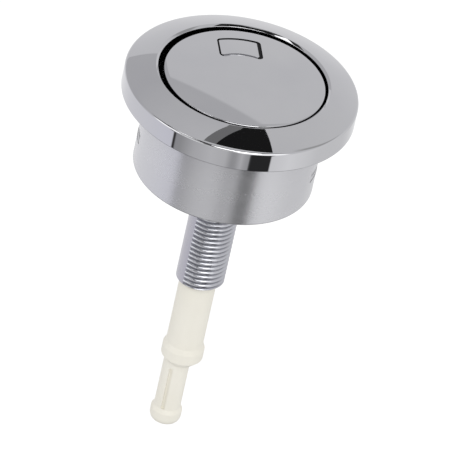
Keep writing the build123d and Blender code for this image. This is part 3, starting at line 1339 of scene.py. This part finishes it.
@dataclass
class Studio:
    """White surroundings, a pale floor, a softbox and the panels that the chrome mirrors."""

    diffuse_level: float = 0.8
    floor_height: float = -0.16
    floor_size: float = 4.0
    floor_tone: float = 0.86
    floor_lift: float = 0.3
    floor_roughness: float = 0.9
    below_tone: Colour = (0.12, 0.12, 0.13, 1)
    below_fade: tuple[float, float] = (-0.85, -0.64)
    horizon_fade: tuple[float, float] = (-0.25, -0.05)
    card_tone: Colour = (0.65, 0.65, 0.665, 1)
    card_edge: float = 38.8
    card_slope: float = 0.62
    card_blur: float = 0.15
    card_rise_fade: tuple[float, float] = (42.0, 78.0)
    card_left_fade: tuple[float, float] = (-120.0, -80.0)
    card_right_fade: tuple[float, float] = (3.0, 12.0)
    lamp: Softbox = Softbox("front_high", (0.12, -0.66, 0.6), (0.6, 0.45), radiance=2.4)
    panels: tuple[Panel, ...] = (
        Panel("overhead_panel", near=(-0.049, 0.185), far=(0.054, 0.09), level=0.015),
        Panel("overhead_wedge", near=(-0.1, -0.049), far=(0.014, 0.054), level=0.24),
    )

    def ramp(self, sheet: NodeSheet, value: bpy.types.NodeSocket,
             stops: Sequence[tuple[float, float, float]]) -> bpy.types.NodeSocket:
        """Colour a value by a list of stops.

        Args:
            sheet: The node tree's helper.
            value: The value to colour.
            stops: Value, level and added blue of each stop, in rising order.

        Returns:
            The colour.
        """
        node = sheet.add("ShaderNodeValToRGB")
        elements = node.color_ramp.elements
        while len(elements) < len(stops):
            elements.new(0.5)
        low, high = stops[0][0], stops[-1][0]
        for element, (stop, level, blue) in zip(elements, stops):
            element.position = (stop - low) / (high - low)
            element.color = (level, level, level + blue, 1)
        sheet.link(sheet.between(value, 0, 1, low, high), node.inputs["Fac"])
        return node.outputs["Color"]

    def left_card(self, sheet: NodeSheet, across: bpy.types.NodeSocket, depth: bpy.types.NodeSocket,
                  height: bpy.types.NodeSocket) -> bpy.types.NodeSocket:
        """Mask a grey card behind the part on the left, with a sharp slanted lower edge.

        Args:
            sheet: The node tree's helper.
            across: The direction's X.
            depth: The direction's Y.
            height: The direction's Z.

        Returns:
            The mask, which fades out upwards and to both sides.
        """
        azimuth = sheet.math("MULTIPLY", sheet.math("ARCTAN2", across, depth), math.degrees(1))
        rise = sheet.math("MULTIPLY", sheet.math("ARCSINE", height), math.degrees(1))
        edge = sheet.math("SUBTRACT", rise, sheet.math("MULTIPLY", azimuth, self.card_slope))
        mask = sheet.between(edge, 0, 1, self.card_edge - self.card_blur, self.card_edge + self.card_blur)
        for fade in (sheet.between(rise, 1, 0, *self.card_rise_fade),
                     sheet.between(azimuth, 0, 1, *self.card_left_fade),
                     sheet.between(azimuth, 1, 0, *self.card_right_fade)):
            mask = sheet.math("MULTIPLY", mask, fade)
        return mask

    def world(self) -> None:
        """White for the camera, an even level on the part and a studio for reflections."""
        world = bpy.data.worlds.new("studio")
        bpy.context.scene.world = world
        world.use_nodes = True
        sheet = NodeSheet(world.node_tree)
        direction = sheet.add("ShaderNodeSeparateXYZ",
                              Vector=sheet.add("ShaderNodeTexCoord").outputs["Generated"])
        across, depth, height = direction.outputs
        around = sheet.math("ARCTAN2", across, sheet.math("MULTIPLY", depth, -1.0))
        degrees = sheet.math("MULTIPLY", around, math.degrees(1))
        rise = sheet.math("MULTIPLY", sheet.math("ARCSINE", height), math.degrees(1))
        low = self.ramp(sheet, degrees, AZIMUTH_STOPS)
        high = self.ramp(sheet, height, HEIGHT_STOPS)
        high = sheet.blend(self.left_card(sheet, across, depth, height), high, self.card_tone)
        for patch in PATCHES:
            high = sheet.blend(patch.mask(sheet, degrees, rise), high, (patch.level,) * 3 + (1,))
        low = sheet.blend(sheet.between(height, 1, 0, *self.below_fade), low, self.below_tone)
        mirrored = sheet.blend(sheet.between(height, 0, 1, *self.horizon_fade), low, high)
        level = (self.diffuse_level,) * 3 + (1,)
        path = sheet.add("ShaderNodeLightPath")
        lit = sheet.blend(path.outputs["Is Glossy Ray"], level, mirrored)
        through = sheet.math("MAXIMUM", path.outputs["Is Camera Ray"], path.outputs["Is Transmission Ray"])
        seen = sheet.blend(through, lit, (1, 1, 1, 1))
        sheet.link(seen, world.node_tree.nodes["Background"].inputs["Color"])

    def floor(self) -> None:
        """Pale floor well below the rod, open from underneath."""
        deselect_all()
        bpy.ops.mesh.primitive_plane_add(size=self.floor_size, location=(0, 0, self.floor_height))
        floor = bpy.context.object
        floor.name = "floor"
        material = bpy.data.materials.new("floor")
        material.use_nodes = True
        sheet = NodeSheet(material.node_tree)
        shader = material.node_tree.nodes["Principled BSDF"]
        shader.inputs["Base Color"].default_value = (self.floor_tone,) * 3 + (1,)
        shader.inputs["Roughness"].default_value = self.floor_roughness
        shader.inputs["Emission Color"].default_value = (1, 1, 1, 1)
        path = sheet.add("ShaderNodeLightPath")
        sheet.link(sheet.math("MULTIPLY", path.outputs["Is Camera Ray"], self.floor_lift),
                   shader.inputs["Emission Strength"])
        mix = sheet.add("ShaderNodeMixShader", Fac=sheet.add("ShaderNodeNewGeometry").outputs["Backfacing"])
        sheet.link(shader.outputs[0], mix.inputs[1])
        sheet.link(sheet.add("ShaderNodeBsdfTransparent").outputs[0], mix.inputs[2])
        sheet.link(mix.outputs[0], material.node_tree.nodes["Material Output"].inputs["Surface"])
        floor.data.materials.append(material)
        floor.visible_glossy = False

    def build(self) -> None:
        """Set the view, the world, the floor, the lamp and the panels."""
        bpy.context.scene.view_settings.view_transform = "Standard"
        self.world()
        self.floor()
        self.lamp.build()
        for panel in self.panels:
            panel.build()


@dataclass
class PhotoCamera:
    """Long-lens camera at the photograph's viewing angle."""

    elevation: float = 35.0
    roll: float = 12.7
    lens: float = 800.0
    sensor: float = 36.0
    frame_pixels: float = 470.0
    pixels_per_radius: float = 119.0
    rim_pixel: tuple[float, float] = (242.0, 84.0)
    rim_radius: float = 27.5
    rim_height: float = 5.0

    def build(self) -> bpy.types.Object:
        """Place the camera so that the rim falls on its pixel at its size.

        Returns:
            The camera.
        """
        slope, turn = math.radians(self.elevation), math.radians(self.roll)
        level_right = Vector((1, 0, 0))
        level_up = Vector((0, math.sin(slope), math.cos(slope)))
        back = Vector((0, -math.cos(slope), math.sin(slope)))
        right = level_right * math.cos(turn) + level_up * math.sin(turn)
        up = level_up * math.cos(turn) - level_right * math.sin(turn)
        per_pixel = self.rim_radius * MM / self.pixels_per_radius
        distance = per_pixel * self.frame_pixels * self.lens / self.sensor
        across = (self.frame_pixels / 2 - self.rim_pixel[0]) * per_pixel
        below = (self.frame_pixels / 2 - self.rim_pixel[1]) * per_pixel
        target = Vector((0, 0, self.rim_height * MM)) + right * across - up * below
        lens = bpy.data.cameras.new("photo_camera")
        lens.lens, lens.sensor_width = self.lens, self.sensor
        camera = bpy.data.objects.new("photo_camera", lens)
        bpy.context.scene.collection.objects.link(camera)
        camera.matrix_world = Matrix.Translation(target + back * distance) @ Matrix(
            (right, up, back)).transposed().to_4x4()
        bpy.context.scene.camera = camera
        return camera


def main() -> None:
    """Build the sub-assemblies in order, then the studio and the camera."""
    logging.basicConfig(level=logging.INFO, format="%(name)s: %(message)s")
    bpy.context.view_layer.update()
    for assembly in (BezelHousing(), PushButton(), BaseInsert(), ThreadedStem(), PushRod(), ReturnSpring()):
        assembly.build()
    dress_inner_nodes()
    Studio().build()
    PhotoCamera().build()


if __name__ == "__main__":
    main()
